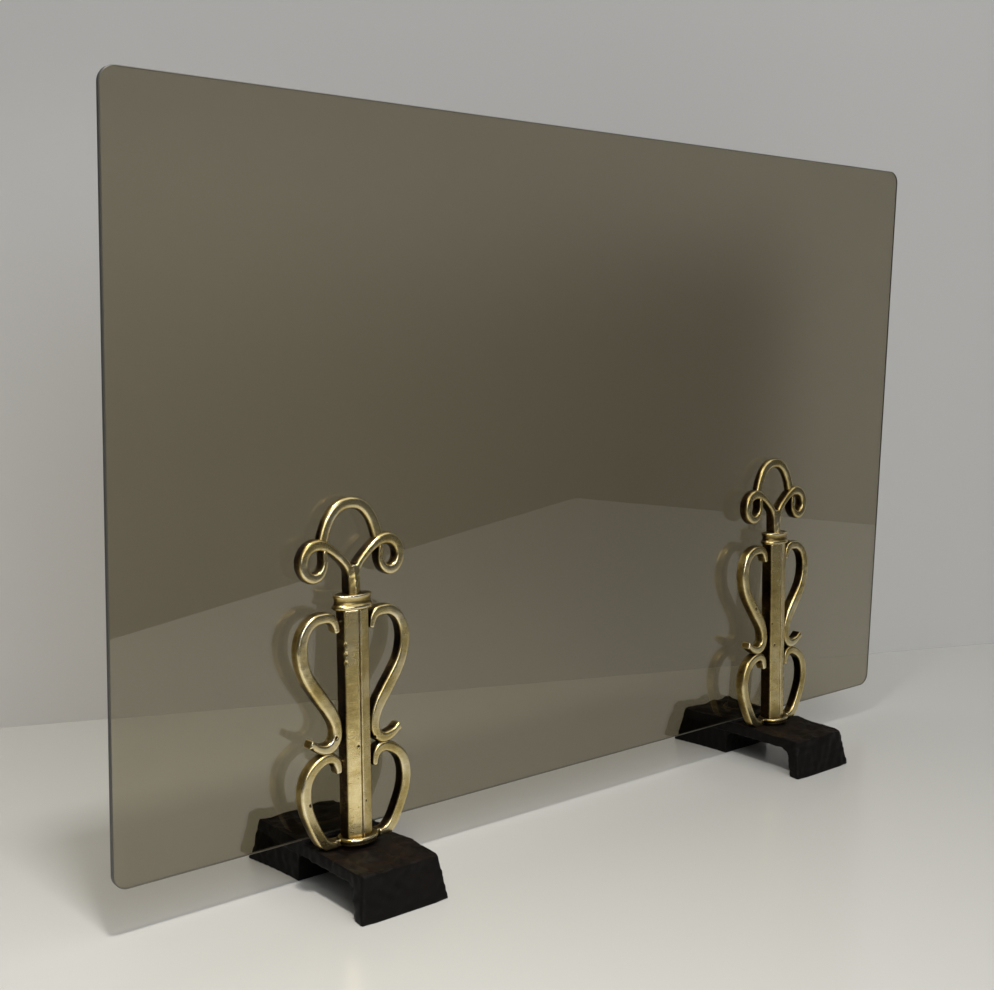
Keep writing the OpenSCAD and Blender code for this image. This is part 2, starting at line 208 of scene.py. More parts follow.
# %% Smoked glass and its ground edge
def smoked_glass():
    """Bronze float glass: clear dark tint, mirror-smooth."""
    material, tree, output = finish_named("smoked_float_glass")
    body = add(tree, "BsdfPrincipled", {
        "Base Color": srgb("#aba48f"), "Transmission Weight": 1.0, "Roughness": 0.0, "IOR": 1.8})
    passed = add(tree, "BsdfTransparent", {"Color": srgb("#b0aa9c")})
    path = add(tree, "LightPath")
    unseen = math_of(tree, "MAXIMUM", path.outputs["Is Shadow Ray"], path.outputs["Is Diffuse Ray"])
    both = add(tree, "MixShader", {0: unseen, 1: body.outputs[0], 2: passed.outputs[0]})
    tree.links.new(both.outputs[0], output.inputs["Surface"])
    return material


def ground_edge(name, code, clear):
    """Part of the swiped edge of the sheet: fine-ground glass, matt, and as clear as the share says."""
    material, tree, output = finish_named(name)
    body = add(tree, "BsdfPrincipled", {
        "Base Color": srgb(code), "Transmission Weight": clear, "Roughness": 0.35, "IOR": 1.52})
    tree.links.new(body.outputs[0], output.inputs["Surface"])
    return material


glass_finish = smoked_glass()
edge_finish = ground_edge("ground_glass_edge", "#24221d", 0.3)
arris_finish = ground_edge("ground_glass_arris", "#5c5a52", 0.2)
print("made", glass_finish.name, edge_finish.name, arris_finish.name)


# %% [markdown]
# ## Antique brass
# The uprights are cast brass, blackened all over and then relieved: a buff takes the dark patina off
# the faces and edges that it can reach, and leaves it in the corners. Each mesh carries a number
# from 0 to 1 that says how much the buff reached there, with painted light in it: faces that look
# up are painted lighter, and hollows and creases darker, partly patina and partly painted shade. The
# material turns it into colour and gloss, with mottling so that no face is even. The strokes of the
# buff are really about 0.1 mm apart, too fine to show, so they are drawn at 0.8 mm.


# %% Relieved brass
def relieved_brass():
    """Antique brass: near-black in recesses (patina and painted shade), olive gold on faces, cream gold on
    edges.
    """
    material, tree, output = finish_named("relieved_antique_brass")
    place = add(tree, "TexCoord").outputs["Object"]
    level = add(tree, "Mapping", {"Vector": place, "Scale": (0.12, 0.12, 1.0)}).outputs[0]
    # The number holds the buff's reach and painted light: lighter upward faces, darker hollows.
    polish_and_painted_light = add(tree, "Attribute", attribute_name="polish_and_painted_light").outputs["Fac"]
    mottle = math_of(tree, "SUBTRACT", grain(tree, place, 9, 4.0, 0.6), 0.5)
    strokes = math_of(tree, "SUBTRACT", grain(tree, level, 0.8, 2.0), 0.5)
    speck = math_of(tree, "SUBTRACT", grain(tree, place, 1.4, 4.0, 0.65), 0.5)
    shade = math_of(tree, "ADD", polish_and_painted_light, math_of(tree, "MULTIPLY", mottle, 0.34))
    shade = math_of(tree, "ADD", shade, math_of(tree, "MULTIPLY", strokes, 0.16))
    shade = math_of(tree, "ADD", shade, math_of(tree, "MULTIPLY", speck, 0.2), clamp=True)
    colour = ramp(tree, shade, [(0.0, "#140b07"), (0.2, "#3b2b1a"), (0.4, "#907a46"), (0.6, "#ceb97c"),
                                (0.8, "#ecdcae"), (1.0, "#fdf5df")])
    gloss = add(tree, "MapRange", {"Value": shade, "To Min": 0.45, "To Max": 0.17})
    pits = add(tree, "Bump", {"Height": grain(tree, place, 0.9, 3.0), "Strength": 0.1, "Distance": 0.0003})
    filed = add(tree, "Bump", {"Height": strokes, "Strength": 0.12, "Distance": 0.0003,
                               "Normal": pits.outputs[0]})
    brass = add(tree, "BsdfPrincipled", {
        "Base Color": colour, "Metallic": 1.0, "Roughness": gloss.outputs[0], "Normal": filed.outputs[0]})
    tree.links.new(brass.outputs[0], output.inputs["Surface"])
    return material


brass_finish = relieved_brass()
print("made", brass_finish.name)


# %% [markdown]
# ## Cast iron, steel and rubber
# The feet are sand-cast iron with a hammered top, stove-blacked: a matt black with a sandy grain.
# The sand is really about 0.3 mm, too fine to show, and is drawn at 1.2 mm. A warm brown tone is
# laid mostly on the upward faces and a little on the front ones, and the mesh stores it per point.
# The bolt and washer are dulled zinc-plated steel. The pad and buffer are matt black rubber, whose
# fine pebble is drawn at 0.8 mm, coarser than it is.


# %% Iron, steel and rubber
def blacked_iron():
    """Stove-blacked cast iron: matt black, sandy, with a warm brown tone on the upward faces."""
    material, tree, output = finish_named("stove_blacked_cast_iron")
    place = add(tree, "TexCoord").outputs["Object"]
    # A brown tone, mostly on the upward faces.
    upward_brown = add(tree, "Attribute", attribute_name="upward_brown").outputs["Fac"]
    patch = add(tree, "MapRange", {
        "Value": grain(tree, place, 18, 4.0, 0.6), "From Min": 0.35, "From Max": 0.65})
    shade = math_of(tree, "MULTIPLY", upward_brown, patch.outputs[0], clamp=True)
    colour = ramp(tree, shade, [(0.0, "#070605"), (0.5, "#130c08"), (1.0, "#23150d")])
    sand = grain(tree, place, 1.2, 4.0, 0.7)
    rough = add(tree, "MapRange", {"Value": sand, "To Min": 0.42, "To Max": 0.68})
    bump = add(tree, "Bump", {"Height": sand, "Strength": 0.35, "Distance": 0.0004})
    iron = add(tree, "BsdfPrincipled", {
        "Base Color": colour, "Specular IOR Level": 0.16, "Roughness": rough.outputs[0],
        "Normal": bump.outputs[0]})
    tree.links.new(iron.outputs[0], output.inputs["Surface"])
    return material


def dull_zinc():
    """Zinc-plated steel, dulled: grey metal with soft cloudy spangle."""
    material, tree, output = finish_named("dulled_zinc_plated_steel")
    place = add(tree, "TexCoord").outputs["Object"]
    cloud = grain(tree, place, 3, 3.0)
    colour = ramp(tree, cloud, [(0.3, "#7d7f80"), (0.7, "#a6a7a5")])
    rough = add(tree, "MapRange", {"Value": cloud, "To Min": 0.3, "To Max": 0.5})
    zinc = add(tree, "BsdfPrincipled", {"Base Color": colour, "Metallic": 1.0, "Roughness": rough.outputs[0]})
    tree.links.new(zinc.outputs[0], output.inputs["Surface"])
    return material


def matt_rubber():
    """Moulded black rubber: dark grey, dry, with a fine pebble."""
    material, tree, output = finish_named("moulded_black_rubber")
    place = add(tree, "TexCoord").outputs["Object"]
    pebble = grain(tree, place, 0.8, 2.0)
    colour = ramp(tree, pebble, [(0.3, "#1a1a1a"), (0.7, "#2b2a29")])
    bump = add(tree, "Bump", {"Height": pebble, "Strength": 0.2, "Distance": 0.0002})
    rubber = add(tree, "BsdfPrincipled", {"Base Color": colour, "Roughness": 0.75, "Normal": bump.outputs[0]})
    tree.links.new(rubber.outputs[0], output.inputs["Surface"])
    return material


iron_finish = blacked_iron()
zinc_finish = dull_zinc()
rubber_finish = matt_rubber()
print("made", iron_finish.name, zinc_finish.name, rubber_finish.name)


# %% [markdown]
# ## From arrays to meshes
# A surface is first a grid of points, computed as whole numpy arrays. A tube is a row of rings,
# closed at each end by a fan. A signed volume tells whether the faces point outwards, and turns
# them round if they don't.


# %% Grids, tubes and meshes
def grid_quads(rows, columns, closed):
    """Corner numbers of the quads between neighbouring rows; closed joins the last column to the first."""
    number = np.arange(rows * columns).reshape(rows, columns)
    if closed:
        number = np.column_stack([number, number[:, 0]])
    corners = (number[:-1, :-1], number[:-1, 1:], number[1:, 1:], number[1:, :-1])
    return np.stack(corners, axis=-1).reshape(-1, 4)


def tube(rings):
    """Skin over rings (stations, around, 3), with a fan to the middle of each end ring, as points and
    triangles."""
    stations, around = rings.shape[:2]
    points = np.concatenate([rings.reshape(-1, 3), rings[0].mean(0)[None], rings[-1].mean(0)[None]])
    quads = grid_quads(stations, around, True)
    step = np.arange(around)
    after = (step + 1) % around
    first = np.column_stack([np.full(around, stations * around), after, step])
    base = (stations - 1) * around
    last = np.column_stack([np.full(around, stations * around + 1), base + step, base + after])
    return outward(points, np.concatenate([quads[:, [0, 1, 2]], quads[:, [0, 2, 3]], first, last]))


def outward(points, triangles):
    """Turns the triangles round if the volume they enclose is negative. The volume is a sum of
    tetrahedra on the origin, a . (b x c) / 6 each."""
    a, b, c = (points[triangles[:, i]] for i in range(3))
    volume = np.einsum("ij,ij->i", a, np.cross(b, c)).sum() / 6
    return points, triangles if volume > 0 else triangles[:, ::-1]


def joined(*skins):
    """Several skins as one list of points and one of triangles."""
    starts = np.cumsum([0] + [len(points) for points, _ in skins[:-1]])
    return (np.concatenate([points for points, _ in skins]),
            np.concatenate([triangles + start for (_, triangles), start in zip(skins, starts)]))


def mesh_of(name, points, faces):
    """A smooth-shaded mesh from points in millimetres."""
    mesh = bpy.data.meshes.new(name)
    mesh.from_pydata((points / METRE).tolist(), [], faces.tolist())
    mesh.polygons.foreach_set("use_smooth", np.ones(len(faces), dtype=bool))
    mesh.update()
    return mesh


# %% [markdown]
# ## Castings
# A pattern-maker's bars and plates overlap, and the metal runs together where they meet. Voxel
# remeshing does the same: it turns any closed skins into one even skin of small quads. A few passes
# that move each point towards the mean of its neighbours then soften the edges, as sand and years
# of rubbing do.


# %% Fusing and softening
def links_of(quads):
    """Each pair of neighbouring points, once."""
    pairs = np.concatenate([quads[:, [i, (i + 1) % 4]] for i in range(4)])
    return np.unique(np.sort(pairs, axis=1), axis=0)


def neighbour_mean(values, links):
    """The mean of the neighbours' values at each point: sums by bincount over both ends of each link."""
    ends = np.concatenate([links[:, 0], links[:, 1]])
    others = np.concatenate([links[:, 1], links[:, 0]])
    count = np.maximum(np.bincount(ends, minlength=len(values)), 1)
    sums = [np.bincount(ends, weights=values[others, axis], minlength=len(values)) for axis in range(3)]
    return np.stack(sums, axis=1) / count[:, None]


def softened(points, links, passes, share=0.5):
    """Moves each point a share of the way to its neighbours' mean, passes times."""
    for _ in range(passes):
        points = points + share * (neighbour_mean(points, links) - points)
    return points


def fused(skin, voxel):
    """One even skin round all the closed skins, by voxel remeshing, as points and quads in millimetres."""
    points, triangles = skin
    rough = bpy.data.objects.new("pattern", mesh_of("pattern", points, triangles))
    bpy.context.scene.collection.objects.link(rough)
    remesh = rough.modifiers.new("fuse", "REMESH")
    remesh.mode = "VOXEL"
    remesh.voxel_size = voxel / METRE
    made = rough.evaluated_get(bpy.context.evaluated_depsgraph_get()).to_mesh()
    cast = np.empty(len(made.vertices) * 3)
    made.vertices.foreach_get("co", cast)
    quads = np.empty(len(made.loops), dtype=int)
    made.loops.foreach_get("vertex_index", quads)
    rough.to_mesh_clear()
    bpy.data.objects.remove(rough)
    return cast.reshape(-1, 3) * METRE, quads.reshape(-1, 4)


def normals_of(points, quads):
    """Normals at the points: the sum of the cross products of the diagonals of the quads round each,
    made unit."""
    across = np.cross(points[quads[:, 2]] - points[quads[:, 0]], points[quads[:, 3]] - points[quads[:, 1]])
    corner = quads.T.ravel()
    sums = [np.bincount(corner, weights=np.tile(across[:, axis], 4), minlength=len(points))
            for axis in range(3)]
    total = np.stack(sums, axis=1)
    return total / np.maximum(np.linalg.norm(total, axis=1, keepdims=True), 1e-12)


def waves(points, length, seed, count=24):
    """Smooth random unevenness, mostly from -1 to 1: a scaled sum of sine waves of about that length in
    random directions."""
    draw = np.random.default_rng(seed)
    ways = draw.normal(size=(count, 3))
    size = length * draw.uniform(0.7, 1.5, (count, 1))
    ways *= 2 * np.pi / (size * np.linalg.norm(ways, axis=1, keepdims=True))
    return np.sin(points @ ways.T + draw.uniform(0, 2 * np.pi, count)).sum(1) * np.sqrt(2 / count) / 2


def relief(points, quads, links, passes=4):
    """How far each point stands proud of its softened surroundings, in millimetres: positive on an edge."""
    return ((points - softened(points, links, passes)) * normals_of(points, quads)).sum(1)


# %% [markdown]
# ## Bars
# The scrolls, the arms of the finial and the loop are all one kind of bar: a flat-backed section
# carried along a curved centre line. The section is a superellipse, x = a |cos t|^(2/n) and
# y = b |sin t|^(2/n) with the signs kept. For n = 5 it is a rectangle with worn corners, as in the
# scrolls, and for n = 3 its sides are bowed, as in the loop that fingers have rubbed. The
# centre line is a Catmull-Rom curve through a few points. Each point holds its share of the reach,
# its share of the rise and the bar's width there, as a share of the full width: the upper scrolls
# swell along their lower diagonals, and most bars thin out towards their tips. The loop's bar is
# even, so its points have no width. The points were read off the photograph. The finial's
# volutes and the upper scrolls' tips are a little wider here than in the frame.

# %% Centre lines
UPPER_SCROLL = np.array([
    [0.134, 0.877, 0.44], [0.152, 0.919, 0.56], [0.211, 0.968, 0.74], [0.327, 0.996, 0.82],
    [0.469, 1.000, 0.85], [0.624, 0.994, 0.85], [0.760, 0.969, 0.86], [0.871, 0.929, 0.88],
    [0.956, 0.868, 0.92], [1.000, 0.789, 0.98], [0.990, 0.715, 0.99], [0.943, 0.638, 1.00],
    [0.863, 0.568, 1.04], [0.747, 0.498, 1.09], [0.613, 0.429, 1.12], [0.477, 0.361, 1.12],
    [0.340, 0.290, 1.08], [0.232, 0.216, 0.98], [0.180, 0.146, 0.89], [0.183, 0.081, 0.89],
    [0.260, 0.028, 0.89], [0.405, 0.000, 0.85], [0.554, 0.006, 0.76], [0.688, 0.028, 0.60],
    [0.768, 0.052, 0.58], [0.843, 0.065, 0.72]])
LOWER_SCROLL = np.array([
    [0.157, 0.815, 0.48], [0.165, 0.869, 0.56], [0.202, 0.936, 0.72], [0.294, 0.985, 0.82],
    [0.438, 1.000, 0.85], [0.583, 0.980, 0.86], [0.730, 0.936, 0.88], [0.850, 0.878, 0.91],
    [0.937, 0.802, 0.94], [0.987, 0.716, 0.96], [1.000, 0.624, 0.96], [0.984, 0.538, 0.95],
    [0.945, 0.452, 0.94], [0.879, 0.360, 0.92], [0.795, 0.264, 0.92], [0.703, 0.169, 0.92],
    [0.609, 0.091, 0.93], [0.488, 0.034, 0.88], [0.362, 0.018, 0.68], [0.255, 0.016, 0.60]])
FORK_ARM = np.array([
    [0.047, 0.141, 0.64], [0.051, 0.328, 0.64], [0.074, 0.454, 0.64], [0.121, 0.557, 0.63],
    [0.186, 0.644, 0.63], [0.275, 0.740, 0.64], [0.383, 0.841, 0.67], [0.492, 0.923, 0.74],
    [0.610, 0.984, 0.86], [0.729, 1.000, 0.94], [0.847, 0.965, 0.92], [0.945, 0.871, 0.88],
    [0.996, 0.745, 0.86], [0.996, 0.600, 0.86], [0.941, 0.468, 0.86], [0.847, 0.391, 0.85],
    [0.750, 0.384, 0.80], [0.661, 0.436, 0.70], [0.597, 0.534, 0.60], [0.570, 0.656, 0.52],
    [0.572, 0.760, 0.47], [0.578, 0.835, 0.44]])
LOOP_HALF = np.array([
    [1.100, -0.085], [1.035, 0.104], [0.969, 0.281], [0.896, 0.438], [0.800, 0.593],
    [0.669, 0.744], [0.500, 0.874], [0.277, 0.968], [0.000, 1.000]])

# %% [markdown]
# ## From a line to a bar
# A curve object with a bevel could draw such a bar, but where its radius shrinks, the depth shrinks
# with the width, and these bars keep their depth. So the section is set square to the line at each
# point, as wide as the bar is there, and the sections are skinned as a tube.


# %% Curve, section and bar
def smooth_curve(points, steps=10):
    """Catmull-Rom: cubics through the points, whose slope at a point is half the step between its
    neighbours."""
    padded = np.concatenate([points[:1], points, points[-1:]])
    a, b, c, d = (padded[i:len(padded) - 3 + i, None, :] for i in range(4))
    t = (np.arange(steps) / steps)[None, :, None]
    cubic = 0.5 * (2 * b + (c - a) * t + (2 * a - 5 * b + 4 * c - d) * t ** 2
                   + (3 * b - a - 3 * c + d) * t ** 3)
    return np.concatenate([cubic.reshape(-1, points.shape[1]), points[-1:]])


def section(half_width, half_depth, power, count=44):
    """The superellipse of a bar, as (across, depth) pairs."""
    t = np.arange(count) * 2 * np.pi / count
    x = np.sign(np.cos(t)) * np.abs(np.cos(t)) ** (2 / power)
    y = np.sign(np.sin(t)) * np.abs(np.sin(t)) ** (2 / power)
    return np.column_stack([half_width * x, half_depth * y])


def bar(curve, half_depth, mid_y, round_end=False, power=5.0):
    """A bar in the plane of the upright: the section, scaled to the half widths in the curve's third
    column, set across the line at each point. A round end adds rings that shrink as a quarter circle.
    power is the n of the section."""
    line, half_widths = curve[:, :2], curve[:, 2]
    along = np.gradient(line, axis=0)
    along /= np.linalg.norm(along, axis=1, keepdims=True)
    if round_end:
        turn = np.linspace(0, np.pi / 2, 6)[1:-1]
        tip = line[-1] + np.outer(np.sin(turn), along[-1]) * half_widths[-1]
        line = np.concatenate([line, tip])
        along = np.concatenate([along, np.repeat(along[-1:], len(turn), axis=0)])
        half_widths = np.concatenate([half_widths, half_widths[-1] * np.cos(turn)])
    across = np.column_stack([-along[:, 1], along[:, 0]])
    outline = section(1.0, half_depth, power)
    flat = line[:, None, :] + (half_widths[:, None] * outline[None, :, 0])[..., None] * across[:, None, :]
    depth = np.broadcast_to(mid_y + outline[:, 1], flat.shape[:2])
    return tube(np.stack([flat[..., 0], depth, flat[..., 1]], axis=-1))


# %% [markdown]
# ## The scrolls
# The scroll bars are cut flat where one is brazed on top of the other. A boolean could make such a
# cut, but pushing every point that lies beyond a plane back onto it does the same in one line. The
# hook of a scroll stops a few millimetres short of the post, and a lug behind it, seen only as a
# dark gap, carries it.

# %% Patterns for the scrolls
LUG_H = 9.0
LUG_D = 5.5


def block(low, high):
    """A closed skin round a box, from its lowest to its highest corner."""
    corners = np.array([[low[0], low[1]], [high[0], low[1]], [high[0], high[1]], [low[0], high[1]]])
    rings = np.empty((2, 4, 3))
    rings[..., :2] = corners
    rings[..., 2] = [[low[2]], [high[2]]]
    return tube(rings)


def scroll_pattern(shares, reach, low, rise, floor_h, top_h):
    """A scroll on the +X side of the post with its lug, cut between two heights."""
    line = smooth_curve(np.array([post_w / 2, low, 0]) + shares * np.array([reach, rise, bar_w / 2]))
    points, triangles = bar(line, bar_d / 2, bar_mid_y)
    points[:, 0] = np.maximum(points[:, 0], post_w / 2 - 0.4)
    points[:, 2] = np.clip(points[:, 2], floor_h, top_h)
    hook_x, hook_h = line[0, :2]
    lug = block((post_w / 2 - 0.4, back_y - LUG_D, hook_h), (hook_x, back_y, hook_h + LUG_H))
    return joined((points, triangles), lug)


def upper_scroll():
    """The tall scroll: hooked over beside the post at its top, with a blunt, fish-tailed curl at its foot."""
    low = lower_h + crest_half_w - overlap
    return scroll_pattern(UPPER_SCROLL, upper_reach, low, post_h - 0.5 - crest_half_w - low, lower_h, post_h)


def lower_scroll():
    """The short scroll under it, whose foot lies on the iron like a shoe."""
    return scroll_pattern(LOWER_SCROLL, lower_reach, 0.0, lower_h - crest_half_w + overlap, -1.0, lower_h)


# %% [markdown]
# ## The finial
# The finial is a Y whose arms curl into volutes, with a loop that stands on them. The stem could be
# a bar like the arms, but a ridge runs up its front and fades towards the crotch, so it is lofted
# through a few rings of five corners.

# %% Patterns for the finial
LOOP_FACE = 9.3


def fork():
    """The finial's Y: two arms that curl into closed volutes, and a stem with a ridge down its front."""
    arm = smooth_curve(np.array([0, finial_h, 0]) + FORK_ARM * np.array([fork_reach, fork_rise, bar_w / 2]))
    skins = [bar(arm * [way, 1, 1], bar_d / 2, bar_mid_y, round_end=True, power=3.8) for way in (-1, 1)]
    share = np.array([0.0, 0.16, 0.33, 0.45, 0.52, 0.56])
    height = finial_h + fork_rise * share
    half = np.array([5.4, 5.4, 5.5, 5.7, 4.2, 0.3])
    ridge = np.array([3.2, 2.6, 1.7, 0.9, 0.2, 0.0])
    front = np.full(len(share), bar_front_y)
    back = np.full(len(share), back_y)
    rings = [np.stack([-half, back, height], 1), np.stack([-half, front, height], 1),
             np.stack([0 * half, front - ridge, height], 1), np.stack([half, front, height], 1),
             np.stack([half, back, height], 1)]
    skins.append(tube(np.stack(rings, axis=1)))
    return joined(*skins)


def loop():
    """The finger hold: an arch that is a little pointed, standing with spread legs on the two arms."""
    right = np.array([0, crest_h]) + LOOP_HALF * np.array([loop_reach, loop_rise])
    arch = smooth_curve(np.concatenate([right * [-1, 1], right[-2::-1]]))
    arch = np.column_stack([arch, np.full(len(arch), LOOP_FACE / 2)])
    return bar(arch, loop_bar / 2, back_y - loop_bar / 2, power=3.0)


# %% [markdown]
# ## The post
# The post is a cast bar with a groove down the ridge between its two front facets. It could be a box
# cut by booleans, but its section is the same from end to end, so one outline with rounded corners
# is drawn straight up.


# %% Pattern for the post
def rounded_corners(corners, radii, steps=5):
    """A closed outline with each corner cut back by its radius and joined by a parabola, which is a
    quadratic Bezier curve."""
    before = np.roll(corners, 1, axis=0) - corners
    after = np.roll(corners, -1, axis=0) - corners
    start = corners + before / np.linalg.norm(before, axis=1, keepdims=True) * radii[:, None]
    end = corners + after / np.linalg.norm(after, axis=1, keepdims=True) * radii[:, None]
    t = np.linspace(0, 1, steps)[None, :, None]
    curve = (1 - t) ** 2 * start[:, None] + 2 * t * (1 - t) * corners[:, None] + t ** 2 * end[:, None]
    return curve.reshape(-1, 2)


def post():
    """The post: a flat back, two sides and two front facets that meet at a groove, drawn straight up."""
    half = post_w / 2
    corners = np.array([[-half, back_y], [-half, side_y], [-1.0, ridge_y + 0.4], [0.0, ridge_y + 2.4],
                        [1.0, ridge_y + 0.4], [half, side_y], [half, back_y]])
    outline = rounded_corners(corners, np.array([0.8, 1.0, 0.3, 0.2, 0.3, 1.0, 0.8]))
    heights = np.linspace(-1.0, post_h, 60)
    rings = np.empty((len(heights), len(outline), 3))
    rings[..., :2] = outline
    rings[..., 2] = heights[:, None]
    return tube(rings)


# %% [markdown]
# ## Collar and flange
# Both have a moulded edge that runs round an oval. A screw modifier could turn the profile and a
# scale could make it oval, but that would stretch the profile too. Taken as an inset from the
# ellipse, it stays nearly the same all the way round.


# %% Patterns for the collar and the flange
def oval(profile, a, b, y, count=96):
    """A closed skin round a profile of (inset, height) pairs, carried round an ellipse with half axes
    a and b."""
    turn = np.arange(count) * 2 * np.pi / count
    inset = profile[:, 0][:, None]
    rings = np.stack([(a - inset) * np.cos(turn), y + (b - inset) * np.sin(turn),
                      np.broadcast_to(profile[:, 1][:, None], (len(profile), count))], axis=-1)
    return tube(rings)


def collar():
    """The collar: a bead at the bottom, a tall hollow above it and a thin rim."""
    band = smooth_curve(np.array([
        [5.0, 0.0], [1.2, 0.05], [0.2, 0.8], [0.0, 1.8], [0.2, 2.8], [0.9, 3.6], [1.5, 4.4],
        [1.9, 6.2], [1.7, 8.4], [1.0, 10.0], [0.7, 10.8], [0.8, 11.6], [1.6, 12.0], [6.0, 11.8]]), 5)
    band[:, 1] += post_h
    return oval(band, collar_half_w, collar_half_d, collar_y)


def base_flange():
    """The flange: an oval plate with a rolled rim that stands round the post's foot, and a tie to each
    scroll."""
    plate = smooth_curve(np.array([
        [1.4, -0.6], [0.9, 0.2], [1.0, 1.2], [0.5, 2.0], [0.0, 3.2], [0.3, 4.4], [1.3, 5.0],
        [2.8, 4.9], [5.0, 4.2], [8.0, 4.0]]), 5)
    ring = oval(plate, post_w / 2 + flange_overhang, flange_half_d, flange_y)
    ties = block((-tie_half_w, bar_mid_y - tie_half_d, -0.6), (tie_half_w, bar_mid_y + tie_half_d, 4.2))
    return joined(ring, ties)


# %% [markdown]
# ## Buffing, and painted light on the brass
# The polish number is made from the shape itself. Faces that look forwards were on the buff
# longest, the outer sides less, the inner sides and the back hardly at all. Faces that look up are
# painted lighter, a painted highlight for the lamps above. An edge stands proud of its surroundings
# and is worn bright. A corner is hollow and stays dark, partly from the patina that the buff left
# there and partly as painted shade. It could be painted on by hand, but would have to be painted
# again whenever the shape changes.


# %% How far the buff reached, and painted light
def buffed(points, quads, links, hollow, outer, seed):
    """Polish from 0 to 1, with painted light in it: faces that look up are painted lighter, and hollows
    and creases darker, partly patina and partly painted shade. hollow is how deep each point lies in a
    hollow, in millimetres. outer is -1 or 1 for a piece with an outer side along X, and 0 for one with
    none."""
    normal = normals_of(points, quads)
    front = np.clip(-normal[:, 1], 0, 1) ** 1.5
    outside = np.clip(normal[:, 0] * outer, 0, 1) ** 2
    inside = np.clip(-normal[:, 0] * outer, 0, 1) ** 2
    # Painted light: faces that look up are made lighter, as if lit from above.
    painted_top_light = np.clip(normal[:, 2], 0, 1) ** 2
    edge = np.clip(relief(points, quads, links) / 0.12, -1, 1)
    polish_and_painted_light = 0.16 + 0.5 * front + 0.24 * outside - 0.1 * inside + 0.16 * painted_top_light
    # Edges are worn bright; creases are made darker, partly patina and partly painted shade.
    polish_and_painted_light += np.where(edge > 0, 0.28 * edge * (0.3 + 0.7 * np.clip(front + outside + painted_top_light, 0, 1)), 0.5 * edge)
    # Hollows are made darker, partly patina and partly painted shade.
    polish_and_painted_light += 0.11 * waves(points, 30.0, seed) - 0.35 * np.clip(hollow / 0.5, 0, 1)
    return np.clip(polish_and_painted_light, 0, 1)


# %% [markdown]
# ## Knocks and blow-holes
# Old castings have small pits where gas was trapped, and chips where they were knocked. A texture
# could paint them, but a dent in the mesh catches the light as well. A mark is the place of its
# middle, its size and its tone.


# %% Marks on the brass
def struck(points, marks):
    """Old knocks and blow-holes: a bell exp(-(distance / size)^2) round each mark. Gives their depth,
    and their tone, which is dark in a blow-hole and bright on a chip."""
    depth = np.zeros(len(points))
    tone = np.zeros(len(points))
    for *centre, size, brightness in marks:
        bell = np.exp(-(np.linalg.norm(points - centre, axis=1) / size) ** 2)
        depth += 0.8 * size * bell
        tone += brightness * bell
    return depth, tone


MARKS = {
    "left_post": [(-2.6, -24.0, 81.6, 1.0, -0.6), (4.2, -23.4, 34.3, 0.8, -0.6),
                  (-11.8, -20.8, 158.6, 1.5, 0.5), (-11.8, -20.8, 167.0, 1.2, 0.5),
                  (-11.8, -20.8, 151.5, 1.3, 0.4)],
    "right_post": [(-7.2, -22.4, 85.5, 0.9, -0.6), (-10.2, -21.2, 108.9, 0.7, -0.5)],
    "right_upper_inner_scroll": [(-34.4, -18.9, 128.4, 1.1, -0.6)],
    "left_upper_inner_scroll": [(17.5, -18.9, 84.0, 1.2, -0.6)],
    "left_upper_outer_scroll": [(-20.5, -18.9, 91.0, 1.2, -0.6), (-17.5, -18.9, 83.0, 1.0, -0.5)],
    "left_lower_outer_scroll": [(-47.0, -18.9, 40.0, 0.9, -0.5)]}


# %% [markdown]
# ## Casting the brass
# Each pattern is fused and softened once, and both uprights are made from the same castings: a
# scroll of the other hand is mirrored in X and its faces are turned round. Softening makes a casting
# a little thinner, so its skin is moved out again by a small swell. Each piece then gets its own
# unevenness, marks, and polish with its painted light and shade, so that no two are alike, and is
# leaned towards the glass.

# %% Cast and place the brass
BRASS_VOXEL = 0.6
SOFTENING = 3
HOLLOW_PASSES = 30
SWELL = 0.3


def stood_up(points, side):
    """From the upright's own sizes to the room: lean it towards the glass about the top of the foot."""
    x, y, h = points.T
    return np.column_stack([x + middle_x[side], y * np.cos(lean) + h * np.sin(lean),
                            foot_h - y * np.sin(lean) + h * np.cos(lean)])


def set_number(mesh, name, values):
    """Stores one number a point on a mesh."""
    mesh.attributes.new(name, "FLOAT", "POINT").data.foreach_set("value", values.astype(np.float32))


def show(name, mesh, finish, body, node):
    """Adds a finished piece that stands for a node and rides on its body."""
    mesh.materials.append(finish)
    piece = bpy.data.objects.new(name, mesh)
    bpy.context.scene.collection.objects.link(piece)
    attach(piece, body)
    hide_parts(node)
    return piece


BRASS_PATTERNS = {
    "post": (post, 0), "collar": (collar, 0), "fork": (fork, 0), "loop": (loop, 0),
    "base_flange": (base_flange, 0), "upper_scroll": (upper_scroll, 1), "lower_scroll": (lower_scroll, 1)}

castings = {}
for name, (pattern, outer) in BRASS_PATTERNS.items():
    points, quads = fused(pattern(), BRASS_VOXEL)
    links = links_of(quads)
    points = softened(points, links, SOFTENING)
    points += SWELL * normals_of(points, quads)
    castings[name] = (points, quads, links, -relief(points, quads, links, HOLLOW_PASSES), outer)
    print("cast", name, "with", len(quads), "quads")

